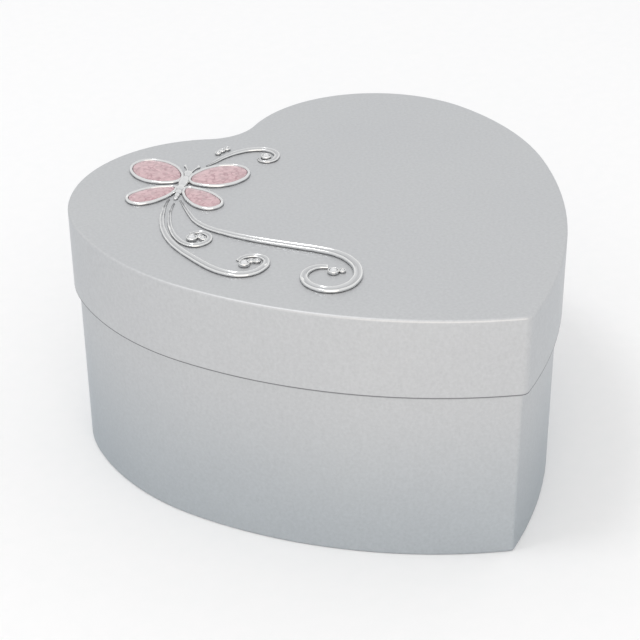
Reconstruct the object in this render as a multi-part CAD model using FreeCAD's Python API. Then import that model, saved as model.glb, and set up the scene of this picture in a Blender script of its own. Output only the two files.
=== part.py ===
import FreeCAD, Part
import math
import os

# Heart-shaped wind-up music box with a hinged slip-over lid. All lengths in millimetres.
# Origin: middle of the whole plan at table level. +Z up, the point looks to -Y, the cleft to +Y.

V = FreeCAD.Vector

# Heart outline of the lid, one half, all arcs tangent to their neighbours
LOBE_X = 22.9              # lobe centre from the midline
LOBE_R = 31.7              # lobe radius
SHOULDER_R = 58.5          # flatter arc below the lobe
SIDE_R = 108.0             # long arc that runs to the point
LOBE_END = 10.0            # degrees, where the lobe hands over to the shoulder
SHOULDER_END = -24.0       # degrees, where the shoulder hands over to the side
CLEFT_R = 12.0             # rounding at the bottom of the cleft
TIP_R = 2.2                # rounding of the point
TIP_MIN = 0.4              # smallest rounding left on inner outlines

# Case
BOX_HEIGHT = 58.8
LID_HEIGHT = 18.2
LID_WALL = 0.8
LID_EDGE_R = 1.6           # rolled edge round the lid's top
LID_FIT = 0.35             # gap between the lid's skirt and the base
BASE_WALL = 1.2
BASE_EDGE_R = 0.5
LIP_HEIGHT = 6.0           # base wall standing up inside the lid
FLOOR_Z = 10.5             # underside of the recessed floor
FLOOR_T = 1.0
FLOOR_FIT = 0.25
FELT_T = 0.6
FELT_MARGIN = 2.5
BOSS_R = 3.4
BOSS_HEIGHT = 4.5
BOSS_INSET = 5.0           # boss centre from the inside of the wall

# Linings
TRAY_FIT = 0.3
TRAY_WALL = 1.0
FLANGE_T = 0.8
SEAT_GAP = 0.2             # left between the closed lid's lining and the tray's flange
WELL_FLOOR_Z = 18.0
PLATFORM_Z = 40.0
STEP_Y = -17.0             # front face of the movement's space
LINING_T = 1.0
LINING_FIT = 0.3

# Hinge in the cleft
HINGE_R = 1.6
HINGE_PIN_R = 0.8
HINGE_LENGTH = 18.0
HINGE_MID = 7.6            # length of the lid's knuckle
HINGE_GAP = 0.2
LEAF_T = 1.2
LEAF_HALF = 7.0
LEAF_HEIGHT = 9.0

# Clockwork, placed by the barrel's axis
BARREL_X = -18.0
BARREL_Y = 12.0
RUN_FIT = 0.08             # radial play of a turning shaft
PRESS_FIT = 0.02           # radial play where a piece is pressed on
BED_T = 2.0
BED_LEFT = 14.5
BED_RIGHT = 44.5
BED_FRONT = 26.0
BED_BACK = 24.5
AXIS_RISE = 9.0            # tune cylinder's axis above the bedplate
CROWN_TEETH = 36
CROWN_R = 12.0
CROWN_FACE = 1.3
PINION_TEETH = 12
CUP_R = 10.4
CUP_WALL = 1.0
CUP_HEIGHT = 10.0
BARREL_FLOOR_T = 1.7
CAP_T = 0.8
ARBOR_R = 2.0
SPRING_T = 0.35
SPRING_TURNS = 7.0
RATCHET_R = 5.0
RATCHET_TEETH = 16
RATCHET_T = 1.2
CLICK_GAP = 0.15
KEY_TOP = 9.3
KEY_BOTTOM = 1.5
KEY_SPAN = 24.0
KEY_T = 1.6
KEY_HUB_R = 3.0
CYLINDER_R = 6.3
CYLINDER_LENGTH = 19.0
PIN_R = 6.9
NOTES = 18
NOTE_PITCH = 1.0
PINS_PER_NOTE = 4
SHAFT_R = 1.0
POST_T = 1.2
WHEEL_T = 1.2
SIDE_GAP = 0.4
FINE_MODULE = 0.3
GEAR_TEETH = 48
IDLER_TEETH = 10
IDLER_DROP = 1.85          # idler axis below the cylinder's axis
IDLER_SHAFT_R = 0.7
WORM_MODULE = 0.4
WORM_STARTS = 2
WORM_WHEEL_TEETH = 24
WORM_R = 1.8
WORM_LENGTH = 7.0
FAN_SHAFT_R = 0.6
FAN_R = 5.5
FAN_HEIGHT = 5.2
FAN_BLADE_T = 0.5
COMB_GAP = 0.15            # between tooth tips and the pins' circle
COMB_T = 1.0
COMB_LENGTH = 17.0
COMB_BODY = 6.0
COMB_SLOT = 0.2
PRESSURE = math.radians(20)

# Stop that the lid holds down
STOP_X = 27.6
STOP_Y = 34.4
STOP_R = 0.7
STOP_HOLE_R = 1.3
STOP_BUTTON_R = 1.8
STOP_GAP = 0.3

# Ornament on the lid
RIM_W = 0.9
RIM_HEIGHT = 0.9
ENAMEL_HEIGHT = 0.55
ENAMEL_FIT = 0.03          # hair gap between a cell's rim and its fill
SCROLL_HEIGHT = 0.8
STONE_RISE = 0.95          # height of a cut stone, in its radius

# Heights and insets that follow from the sizes above
SKIRT_Z = BOX_HEIGHT - LID_HEIGHT
LIP_Z = SKIRT_Z + LIP_HEIGHT
BASE_OUT = -(LID_WALL + LID_FIT)
BASE_IN = BASE_OUT - BASE_WALL
FLOOR_TOP = FLOOR_Z + FLOOR_T
BED_TOP = FLOOR_TOP + BED_T
AXIS_Z = BED_TOP + AXIS_RISE
LINING_TOP = BOX_HEIGHT - LID_WALL
LINING_Z = LINING_TOP - LINING_T
MODULE = 2 * CROWN_R / CROWN_TEETH
PINION_R = MODULE * PINION_TEETH / 2
CROWN_ROOT_Z = AXIS_Z - PINION_R - 1.3 * MODULE
BARREL_Z = CROWN_ROOT_Z - BARREL_FLOOR_T
CUP_TOP = CROWN_ROOT_Z + CUP_HEIGHT
POST_X = CROWN_R + CROWN_FACE / 2 + 0.35
CYLINDER_X = POST_X + POST_T + SIDE_GAP
GEAR_X = CYLINDER_X + CYLINDER_LENGTH + SIDE_GAP
PLATE_X = GEAR_X + WHEEL_T + SIDE_GAP
WORM_WHEEL_X = PLATE_X + POST_T + SIDE_GAP
WORM_X = WORM_WHEEL_X + WHEEL_T / 2
BACK_PLATE_X = WORM_WHEEL_X + WHEEL_T + 2 * SIDE_GAP
CENTRES = FINE_MODULE * (GEAR_TEETH + IDLER_TEETH) / 2
IDLER_Y = math.sqrt(CENTRES ** 2 - IDLER_DROP ** 2)
IDLER_Z = AXIS_Z - IDLER_DROP
WORM_WHEEL_R = WORM_MODULE * WORM_WHEEL_TEETH / 2
WORM_Y = IDLER_Y + WORM_WHEEL_R + WORM_R
FAN_Z = IDLER_Z + WORM_WHEEL_R + 0.75
ARM_Z = FAN_Z + FAN_HEIGHT + 0.8
BRIDGE_Z = CUP_TOP + CAP_T + 0.9
BARREL_AT = V(BARREL_X, BARREL_Y, 0)


def box(x0, x1, y0, y1, z0, z1):
    return Part.makeBox(x1 - x0, y1 - y0, z1 - z0, V(x0, y0, z0))


def rod(radius, x, y, z0, z1):
    return Part.makeCylinder(radius, z1 - z0, V(x, y, z0))


def rod_x(radius, x0, x1, y, z):
    return Part.makeCylinder(radius, x1 - x0, V(x0, y, z), V(1, 0, 0))


def prism(points, z0, z1):
    """Upright prism over a closed row of flat corner points."""
    corners = [V(x, y, z0) for x, y in points]
    face = Part.Face(Part.makePolygon(corners + corners[:1]))
    return face.extrude(V(0, 0, z1 - z0))


def join(first, others):
    return first.fuse(others).removeSplitter()


def edges_at(solid, z):
    return [e for e in solid.Edges if all(abs(v.Z - z) < 1e-6 for v in e.Vertexes)]


def toward(angle):
    return V(math.cos(angle), math.sin(angle), 0)


def mirrored(point):
    return V(-point.x, point.y, point.z)


def arc(first, middle, last):
    return Part.Arc(first, middle, last).toShape()


LOBE_ANGLE = math.radians(LOBE_END)
SHOULDER_ANGLE = math.radians(SHOULDER_END)
LOBE_C = V(LOBE_X, 0, 0)
SHOULDER_C = LOBE_C + toward(LOBE_ANGLE) * (LOBE_R - SHOULDER_R)
SIDE_C = SHOULDER_C + toward(SHOULDER_ANGLE) * (SHOULDER_R - SIDE_R)
CLEFT_C = V(0, math.sqrt((LOBE_R + CLEFT_R) ** 2 - LOBE_X ** 2), 0)
CLEFT_ANGLE = math.atan2(CLEFT_C.y, -LOBE_X)


def tip_circle(grow):
    """Centre and radius of the rounding at the heart's point."""
    radius = max(TIP_R + grow, TIP_MIN)
    drop = math.sqrt((SIDE_R + grow - radius) ** 2 - SIDE_C.x ** 2)
    return V(0, SIDE_C.y - drop, 0), radius


def tip_y(grow):
    centre, radius = tip_circle(grow)
    return centre.y - radius + PLAN_SHIFT


TIP_C = tip_circle(0)[0]
PLAN_SHIFT = -(LOBE_R + HINGE_R + TIP_C.y - TIP_R) / 2
LOBE_Y = PLAN_SHIFT
HINGE_Y = LOBE_R + PLAN_SHIFT


def heart(grow, z0, z1):
    """Upright prism over the heart outline moved outward by grow (inward when negative)."""
    tip, tip_radius = tip_circle(grow)
    tip_angle = math.atan2(tip.y - SIDE_C.y, tip.x - SIDE_C.x)
    arcs = [
        (LOBE_C, LOBE_R + grow, CLEFT_ANGLE, LOBE_ANGLE),
        (SHOULDER_C, SHOULDER_R + grow, LOBE_ANGLE, SHOULDER_ANGLE),
        (SIDE_C, SIDE_R + grow, SHOULDER_ANGLE, tip_angle),
    ]
    right = []
    for centre, radius, start, end in arcs:
        right.append([centre + toward(a) * radius for a in (start, (start + end) / 2, end)])
    left = [[mirrored(p) for p in reversed(points)] for points in reversed(right)]
    cleft = [mirrored(right[0][0]), CLEFT_C - V(0, CLEFT_R - grow, 0), right[0][0]]
    point = [right[-1][2], tip - V(0, tip_radius, 0), mirrored(right[-1][2])]
    wire = Part.Wire([arc(*points) for points in [cleft] + right + [point] + left])
    wire.translate(V(0, PLAN_SHIFT, z0))
    return Part.Face(wire).extrude(V(0, 0, z1 - z0))


def screw(x, y, seat_z, shank_r, length, head_r, head_h, up):
    """Slotted screw whose head sits on seat_z; its head is above the seat when up is 1."""
    tip_z = seat_z - up * length
    head_z = seat_z + up * head_h
    shank = rod(shank_r, x, y, min(tip_z, seat_z), max(tip_z, seat_z))
    head = rod(head_r, x, y, min(seat_z, head_z), max(seat_z, head_z))
    middle = head_z - up * head_h * 0.2
    slot = box(x - head_r, x + head_r, y - 0.2, y + 0.2, middle - head_h * 0.25, middle + head_h * 0.25)
    return join(head, [shank]).cut(slot)


def boss_places():
    """Three screw bosses under the floor's edge: one in each lobe, one at the point."""
    lobe_y = LOBE_Y + LOBE_R + BASE_IN - BOSS_INSET
    return [(LOBE_X, lobe_y), (-LOBE_X, lobe_y), (0, tip_y(BASE_IN) + 1.8 * BOSS_INSET)]


def make_base():
    wall = heart(BASE_OUT, 0, LIP_Z)
    wall = wall.makeFillet(BASE_EDGE_R, edges_at(wall, 0))
    wall = wall.cut(heart(BASE_IN, -1, LIP_Z + 1))
    inside = heart(BASE_IN + BASE_WALL / 2, FLOOR_TOP, FLOOR_TOP + BOSS_HEIGHT)
    bosses = []
    for x, y in boss_places():
        reach = math.copysign(2.5 * BOSS_INSET, y)
        web = box(x - BOSS_R, x + BOSS_R, min(y, y + reach), max(y, y + reach),
                  FLOOR_TOP, FLOOR_TOP + BOSS_HEIGHT)
        boss = join(rod(BOSS_R, x, y, FLOOR_TOP, FLOOR_TOP + BOSS_HEIGHT), [web])
        bosses.append(boss.common(inside))
    base = join(wall, bosses)
    for x, y in boss_places():
        base = base.cut(rod(1.25, x, y, FLOOR_TOP - 1, FLOOR_TOP + BOSS_HEIGHT - 0.8))
    return base


MOVEMENT_SCREWS = [(BARREL_X - 11.0, BARREL_Y - 20.0), (BARREL_X - 11.0, BARREL_Y + 20.0),
                   (BARREL_X + 40.5, BARREL_Y - 20.0)]


def make_floor():
    plate = heart(BASE_IN - FLOOR_FIT, FLOOR_Z, FLOOR_TOP)
    felt = heart(BASE_IN - FLOOR_FIT - FELT_MARGIN, FLOOR_Z - FELT_T, FLOOR_Z)
    key_hole = rod(ARBOR_R + 2.5, BARREL_X, BARREL_Y, FLOOR_Z - 2, FLOOR_TOP + 1)
    plate = plate.cut(key_hole)
    felt = felt.cut(key_hole)
    for x, y in boss_places():
        plate = plate.cut(rod(1.45, x, y, FLOOR_Z - 1, FLOOR_TOP + 1))
        felt = felt.cut(rod(3.2, x, y, FLOOR_Z - 2, FLOOR_TOP))
    for x, y in MOVEMENT_SCREWS:
        plate = plate.cut(rod(1.3, x, y, FLOOR_Z - 1, FLOOR_TOP + 1))
        felt = felt.cut(rod(2.8, x, y, FLOOR_Z - 2, FLOOR_TOP))
    return plate, felt


def make_tray():
    outer = BASE_IN - TRAY_FIT
    inner = outer - TRAY_WALL
    top = LIP_Z + FLANGE_T
    front = box(-200, 200, -200, STEP_Y, -1, 200)
    behind = box(-200, 200, STEP_Y - TRAY_WALL, 200, -1, 200)
    well = heart(outer, WELL_FLOOR_Z - TRAY_WALL, top).common(front)
    shelf = heart(outer, PLATFORM_Z - TRAY_WALL, top)
    flange = heart(BASE_OUT - 0.1, LIP_Z, top)
    tray = join(well, [shelf, flange])
    tray = tray.cut(heart(inner, WELL_FLOOR_Z, top + 1).cut(behind))
    tray = tray.cut(heart(inner, PLATFORM_Z, top + 1))
    return tray.cut(rod(STOP_HOLE_R, STOP_X, STOP_Y, 0, top))


def make_lid():
    shell = heart(0, SKIRT_Z, BOX_HEIGHT)
    shell = shell.makeFillet(LID_EDGE_R, edges_at(shell, BOX_HEIGHT))
    hollow = heart(-LID_WALL, SKIRT_Z - 1, LINING_TOP)
    hollow = hollow.makeFillet(LID_EDGE_R - LID_WALL, edges_at(hollow, LINING_TOP))
    shell = shell.cut(hollow)
    rim_z = LIP_Z + FLANGE_T + SEAT_GAP
    lining = heart(-LID_WALL - LINING_FIT, rim_z, LINING_TOP)
    lining = lining.makeChamfer(LID_EDGE_R - LID_WALL, edges_at(lining, LINING_TOP))
    lining = lining.cut(heart(-LID_WALL - LINING_FIT - LINING_T, rim_z - 1, LINING_Z))
    return shell, lining


def make_hinge():
    """Two leaves soldered into the cleft and the pin that joins them."""
    half = HINGE_LENGTH / 2
    mid = HINGE_MID / 2
    cleft_back = HINGE_Y + 20
    pads = []
    for grow, z0, z1 in ((BASE_OUT, SKIRT_Z - LEAF_HEIGHT, SKIRT_Z - 0.4),
                         (0, SKIRT_Z + 0.4, SKIRT_Z + LEAF_HEIGHT)):
        reach = box(-LEAF_HALF, LEAF_HALF, HINGE_Y - 15, cleft_back, z0, z1)
        band = heart(grow + LEAF_T, z0, z1).common(reach)
        pads.append(band)
    bore_lid = rod_x(HINGE_PIN_R + RUN_FIT, -half, half, HINGE_Y, SKIRT_Z)
    bore_base = rod_x(HINGE_PIN_R + PRESS_FIT, -half, half, HINGE_Y, SKIRT_Z)
    knuckles = []
    for x0, x1 in ((-half, -mid - HINGE_GAP), (mid + HINGE_GAP, half)):
        knuckles.append(rod_x(HINGE_R, x0, x1, HINGE_Y, SKIRT_Z))
        inner = x0 if x0 > 0 else -LEAF_HALF
        outer = LEAF_HALF if x0 > 0 else x1
        knuckles.append(box(inner, outer, HINGE_Y - 12, HINGE_Y, SKIRT_Z - HINGE_R, SKIRT_Z - 0.4))
    base_leaf = join(pads[0], knuckles).cut(heart(BASE_OUT, SKIRT_Z - 20, SKIRT_Z + 20)).cut(bore_base)
    arm = box(-mid, mid, HINGE_Y - 12, HINGE_Y, SKIRT_Z + 0.4, SKIRT_Z + HINGE_R)
    middle = rod_x(HINGE_R, -mid, mid, HINGE_Y, SKIRT_Z)
    lid_leaf = join(pads[1], [arm, middle]).cut(heart(0, SKIRT_Z - 20, SKIRT_Z + 20)).cut(bore_lid)
    pin = rod_x(HINGE_PIN_R, -half, half, HINGE_Y, SKIRT_Z)
    return base_leaf, lid_leaf, pin


def gear_points(teeth, module, play, head, foot):
    """Corner points of a spur gear: involute flanks in three straight steps, thinned by play."""
    pitch_r = module * teeth / 2
    base_r = pitch_r * math.cos(PRESSURE)
    half = (math.pi * module / 2 - play) / (2 * pitch_r)
    radii = [pitch_r - foot, max(base_r, pitch_r - foot * 0.5), pitch_r, pitch_r + head]
    flank = []
    for radius in radii:
        local = math.acos(min(1.0, base_r / radius))
        swing = half + (math.tan(PRESSURE) - PRESSURE) - (math.tan(local) - local)
        flank.append((radius, max(swing, 0.15 * half)))
    points = []
    for number in range(teeth):
        centre = 2 * math.pi * number / teeth
        for radius, swing in flank:
            points.append((radius * math.cos(centre - swing), radius * math.sin(centre - swing)))
        for radius, swing in reversed(flank):
            points.append((radius * math.cos(centre + swing), radius * math.sin(centre + swing)))
    return points


def wheel_on_x(points, turn, thickness, bore, x, y, z):
    """Toothed wheel on an axle along X; a tooth at angle zero points down before the turn."""
    wheel = prism(points, 0, thickness).cut(rod(bore, 0, 0, -1, thickness + 1))
    wheel.rotate(V(0, 0, 0), V(0, 0, 1), turn)
    wheel.rotate(V(0, 0, 0), V(0, 1, 0), 90)
    wheel.translate(V(x, y, z))
    return wheel


def make_bedplate():
    bed = box(-BED_LEFT, BED_RIGHT, -BED_FRONT, BED_BACK, FLOOR_TOP, BED_TOP)
    corners = [e for e in bed.Edges if abs(e.tangentAt(e.FirstParameter).z) > 0.9]
    bed = bed.makeFillet(4.0, corners)
    post = box(POST_X, POST_X + POST_T, -3.5, 3.5, FLOOR_TOP, AXIS_Z + 3)
    seat = box(CYLINDER_X, CYLINDER_X + CYLINDER_LENGTH, -comb_back(), -comb_back() + COMB_BODY,
               FLOOR_TOP, AXIS_Z - COMB_T / 2)
    bed = join(bed, [post, seat])
    bed = bed.cut(rod_x(SHAFT_R + RUN_FIT, POST_X - 1, POST_X + 3, 0, AXIS_Z))
    bed = bed.cut(rod(ARBOR_R + RUN_FIT, 0, 0, FLOOR_TOP - 1, BED_TOP + 1))
    for x, y in comb_screw_places():
        bed = bed.cut(rod(1.05, x, y, AXIS_Z - 5, AXIS_Z))
    for x, y in bridge_screw_places() + governor_screw_places() + [click_place()]:
        bed = bed.cut(rod(0.95, x, y, FLOOR_TOP + 0.2, BED_TOP + 1))
    for x, y in MOVEMENT_SCREWS:
        bed = bed.cut(rod(1.05, x - BARREL_X, y - BARREL_Y, FLOOR_TOP - 1, BED_TOP - 0.2))
    return bed


def comb_back():
    return PIN_R + COMB_GAP + COMB_LENGTH


def comb_screw_places():
    middle = CYLINDER_X + CYLINDER_LENGTH / 2
    return [(middle + side * 5.0, -comb_back() + COMB_BODY / 2) for side in (-1, 1)]


def bridge_screw_places():
    return [(0, side * (CROWN_R + 6.0)) for side in (-1, 1)]


def governor_screw_places():
    return [(BED_RIGHT - 2.4, y) for y in (-1.0, WORM_Y + 4.0)]


def click_place():
    return (-RATCHET_R - 3.5, -6.5)


def make_barrel():
    """Spring barrel with upward crown teeth on its flange, its cap and the coiled mainspring."""
    flange_r = CROWN_R + CROWN_FACE / 2
    flange = rod(flange_r, 0, 0, BARREL_Z, CROWN_ROOT_Z)
    cup = rod(CUP_R, 0, 0, BARREL_Z, CUP_TOP)
    pitch_z = AXIS_Z - PINION_R
    slope = math.tan(PRESSURE)
    half = (math.pi * MODULE / 2 - 0.2) / 2
    tip = half - slope * 0.85 * MODULE
    root = half + slope * (pitch_z - CROWN_ROOT_Z + 0.2)
    profile = [V(0, -root, CROWN_ROOT_Z - 0.2), V(0, root, CROWN_ROOT_Z - 0.2),
               V(0, tip, pitch_z + 0.85 * MODULE), V(0, -tip, pitch_z + 0.85 * MODULE)]
    tooth = Part.Face(Part.makePolygon(profile + profile[:1])).extrude(V(CROWN_FACE, 0, 0))
    tooth.translate(V(CROWN_R - CROWN_FACE / 2, 0, 0))
    teeth = []
    for number in range(CROWN_TEETH):
        copy = tooth.copy()
        copy.rotate(V(0, 0, 0), V(0, 0, 1), (number + 0.5) * 360.0 / CROWN_TEETH)
        teeth.append(copy)
    barrel = join(flange, [cup] + teeth)
    barrel = barrel.cut(rod(CUP_R - CUP_WALL, 0, 0, CROWN_ROOT_Z, CUP_TOP + 1))
    barrel = barrel.cut(rod(ARBOR_R + RUN_FIT, 0, 0, BARREL_Z - 1, CROWN_ROOT_Z + 1))
    cap = rod(CUP_R, 0, 0, CUP_TOP, CUP_TOP + CAP_T).cut(rod(ARBOR_R + RUN_FIT, 0, 0, 0, 100))
    first = ARBOR_R + 0.5
    growth = (CUP_R - CUP_WALL - 0.3 - SPRING_T - first) / SPRING_TURNS
    sides = []
    for shift in (0, SPRING_T):
        points = []
        for step in range(int(SPRING_TURNS * 10) + 1):
            turns = step / 10
            points.append(toward(2 * math.pi * turns) * (first + shift + growth * turns))
        curve = Part.BSplineCurve()
        curve.interpolate(points)
        sides.append(curve.toShape())
    ends = [Part.makeLine(sides[0].valueAt(e), sides[1].valueAt(f)) for e, f in
            ((sides[0].FirstParameter, sides[1].FirstParameter),
             (sides[0].LastParameter, sides[1].LastParameter))]
    spring = Part.Face(Part.Wire(Part.__sortEdges__(sides + ends)))
    spring.translate(V(0, 0, CROWN_ROOT_Z + 0.4))
    spring = spring.extrude(V(0, 0, CUP_HEIGHT - 0.8))
    return barrel, cap, spring


def make_winding():
    """Arbor, ratchet wheel, click, and the folding-wing key under the floor."""
    arbor = rod(ARBOR_R, 0, 0, KEY_BOTTOM + 2.0, BRIDGE_Z + 1.3)
    points = []
    for number in range(RATCHET_TEETH):
        angle = 2 * math.pi * number / RATCHET_TEETH
        points.append((RATCHET_R * math.cos(angle), RATCHET_R * math.sin(angle)))
        inner = RATCHET_R - 0.9
        points.append((inner * math.cos(angle + 0.03), inner * math.sin(angle + 0.03)))
    z0 = BED_TOP + 0.3
    ratchet = prism(points, z0, z0 + RATCHET_T).cut(rod(ARBOR_R + PRESS_FIT, 0, 0, 0, 50))
    rivet_x, rivet_y = click_place()
    reach = RATCHET_R + CLICK_GAP
    leaf = prism([(rivet_x - 1.6, rivet_y - 1.6), (rivet_x + 1.6, rivet_y - 1.6),
                  (rivet_x + 1.6, rivet_y + 2.0), (-reach, -0.3), (-reach, 0.3),
                  (-reach - 0.7, 0.3), (rivet_x - 1.6, rivet_y + 2.0)], BED_TOP, BED_TOP + 0.9)
    click = leaf.cut(rod(0.95, rivet_x, rivet_y, 0, 50))
    rivet = join(rod(0.9, rivet_x, rivet_y, FLOOR_TOP + 0.4, BED_TOP + 0.9),
                 [rod(1.4, rivet_x, rivet_y, BED_TOP + 0.9, BED_TOP + 1.4)])
    hub = rod(KEY_HUB_R, 0, 0, KEY_BOTTOM + 1.2, KEY_TOP)
    wing_r = (KEY_TOP - KEY_BOTTOM - 0.8) / 2
    reach_x = KEY_SPAN / 2 - wing_r
    mid_z = KEY_BOTTOM + wing_r
    key = hub
    bar = box(-reach_x, reach_x, -KEY_T / 2, KEY_T / 2, mid_z - wing_r * 0.62, mid_z + wing_r * 0.62)
    wings = [bar]
    eyes = []
    for side in (-1, 1):
        centre = V(side * reach_x, -KEY_T / 2, mid_z)
        wings.append(Part.makeCylinder(wing_r, KEY_T, centre, V(0, 1, 0)))
        eyes.append(Part.makeCylinder(wing_r * 0.5, KEY_T * 3, centre - V(0, KEY_T, 0), V(0, 1, 0)))
    key = join(key, wings).cut(eyes[0]).cut(eyes[1])
    key = key.cut(rod(ARBOR_R + PRESS_FIT, 0, 0, KEY_BOTTOM + 1.9, 50))
    return arbor, ratchet, click, rivet, key


def make_bridge():
    """Strap over the barrel that steadies the arbor's upper end, and its two screws."""
    leg_y = CROWN_R + CROWN_FACE / 2 + 0.9
    bar = box(-4, 4, -leg_y - 1.5, leg_y + 1.5, BRIDGE_Z, BRIDGE_Z + 1.5)
    pieces = []
    for side in (-1, 1):
        near = side * leg_y
        far = side * (leg_y + 1.5)
        toe = side * (leg_y + 7.5)
        pieces.append(box(-4, 4, min(near, far), max(near, far), BED_TOP, BRIDGE_Z + 1))
        pieces.append(box(-4, 4, min(near, toe), max(near, toe), BED_TOP, BED_TOP + 1.5))
    bridge = join(bar, pieces).cut(rod(ARBOR_R + RUN_FIT, 0, 0, BRIDGE_Z - 1, BRIDGE_Z + 3))
    screws = []
    for x, y in bridge_screw_places():
        bridge = bridge.cut(rod(1.0, x, y, BED_TOP - 1, BED_TOP + 3))
        screws.append(screw(x, y, BED_TOP + 1.5, 0.9, 3.0, 1.9, 1.2, 1))
    return bridge, screws


def make_cylinder():
    """Pinned tune cylinder on its arbor, with the pinion at one end and the gear at the other."""
    shaft = rod_x(SHAFT_R, POST_X - 0.35 - CROWN_FACE, PLATE_X + POST_T + 0.2, 0, AXIS_Z)
    drum = rod_x(CYLINDER_R, CYLINDER_X, CYLINDER_X + CYLINDER_LENGTH, 0, AXIS_Z)
    first = CYLINDER_X + (CYLINDER_LENGTH - (NOTES - 1) * NOTE_PITCH) / 2
    pins = []
    for note in range(NOTES):
        for beat in range(PINS_PER_NOTE):
            angle = 2 * math.pi * ((note * 7 + beat * 19) % 73 + 0.5) / 73
            outward = V(0, math.cos(angle), math.sin(angle))
            start = V(first + note * NOTE_PITCH, 0, AXIS_Z) + outward * (CYLINDER_R - 0.4)
            pins.append(Part.makeCylinder(0.16, PIN_R - CYLINDER_R + 0.4, start, outward))
    drum = drum.fuse(pins)
    drum = drum.cut(rod_x(SHAFT_R + PRESS_FIT, CYLINDER_X - 1, CYLINDER_X + CYLINDER_LENGTH + 1, 0, AXIS_Z))
    pinion = wheel_on_x(gear_points(PINION_TEETH, MODULE, 0.2, 0.85 * MODULE, 1.3 * MODULE), 0,
                        CROWN_FACE - 0.1, SHAFT_R + PRESS_FIT, CROWN_R - CROWN_FACE / 2 + 0.05, 0, AXIS_Z)
    gear = wheel_on_x(gear_points(GEAR_TEETH, FINE_MODULE, 0.12, 0.8 * FINE_MODULE, 1.5 * FINE_MODULE),
                      mesh_angle(), WHEEL_T, SHAFT_R + PRESS_FIT, GEAR_X, 0, AXIS_Z)
    return shaft, drum, pinion, gear


def mesh_angle():
    """Direction from the cylinder's axis to the idler's, in the turned gear's own degrees."""
    return math.degrees(math.atan2(IDLER_Y, IDLER_DROP))


def make_idler():
    """Idler shaft with its small pinion and the worm wheel."""
    shaft = rod_x(IDLER_SHAFT_R, GEAR_X - 0.2, BACK_PLATE_X + POST_T + 0.3, IDLER_Y, IDLER_Z)
    pinion = wheel_on_x(gear_points(IDLER_TEETH, FINE_MODULE, 0.12, 0.8 * FINE_MODULE, 1.5 * FINE_MODULE),
                        mesh_angle() + 180 + 180.0 / IDLER_TEETH, WHEEL_T, IDLER_SHAFT_R + PRESS_FIT,
                        GEAR_X, IDLER_Y, IDLER_Z)
    wheel = wheel_on_x(gear_points(WORM_WHEEL_TEETH, WORM_MODULE, 0.28, 0.7 * WORM_MODULE, 1.2 * WORM_MODULE),
                       90 + 180.0 / WORM_WHEEL_TEETH, WHEEL_T, IDLER_SHAFT_R + PRESS_FIT,
                       WORM_WHEEL_X, IDLER_Y, IDLER_Z)
    return shaft, pinion, wheel


def make_worm():
    """Two-start worm on its upright shaft, and the two-bladed fan that brakes on the air."""
    lead = WORM_STARTS * math.pi * WORM_MODULE
    crest_r = WORM_R + 0.7 * WORM_MODULE
    root_r = WORM_R - 1.1 * WORM_MODULE
    start_z = IDLER_Z - WORM_LENGTH / 2
    shaft = rod(FAN_SHAFT_R, WORM_X, WORM_Y, BED_TOP + 0.3, ARM_Z + 0.9)
    core = rod(root_r, WORM_X, WORM_Y, start_z - 0.6, start_z + WORM_LENGTH + 0.6)
    base_half = 0.36
    crest_half = 0.12
    threads = []
    for number in range(WORM_STARTS):
        helix = Part.makeHelix(lead, WORM_LENGTH - 2 * base_half, root_r)
        corners = [V(root_r - 0.12, 0, -base_half), V(root_r - 0.12, 0, base_half),
                   V(crest_r, 0, crest_half), V(crest_r, 0, -crest_half)]
        profile = Part.makePolygon(corners + corners[:1])
        thread = Part.Wire(helix).makePipeShell([profile], True, True)
        middle_turn = 360.0 * (WORM_LENGTH / 2 - base_half) / lead
        thread.rotate(V(0, 0, 0), V(0, 0, 1), -90 - middle_turn + number * 360.0 / WORM_STARTS)
        thread.translate(V(WORM_X, WORM_Y, start_z + base_half))
        threads.append(thread)
    worm = join(shaft, [core]).fuse(threads)
    hub = rod(1.3, WORM_X, WORM_Y, FAN_Z, FAN_Z + FAN_HEIGHT)
    blades = box(WORM_X - FAN_R, WORM_X + FAN_R, WORM_Y - FAN_BLADE_T / 2, WORM_Y + FAN_BLADE_T / 2,
                 FAN_Z + 0.3, FAN_Z + FAN_HEIGHT - 0.3)
    fan = join(hub, [blades]).cut(rod(FAN_SHAFT_R + PRESS_FIT, WORM_X, WORM_Y, FAN_Z - 1, FAN_Z + 20))
    return worm, fan


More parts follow.
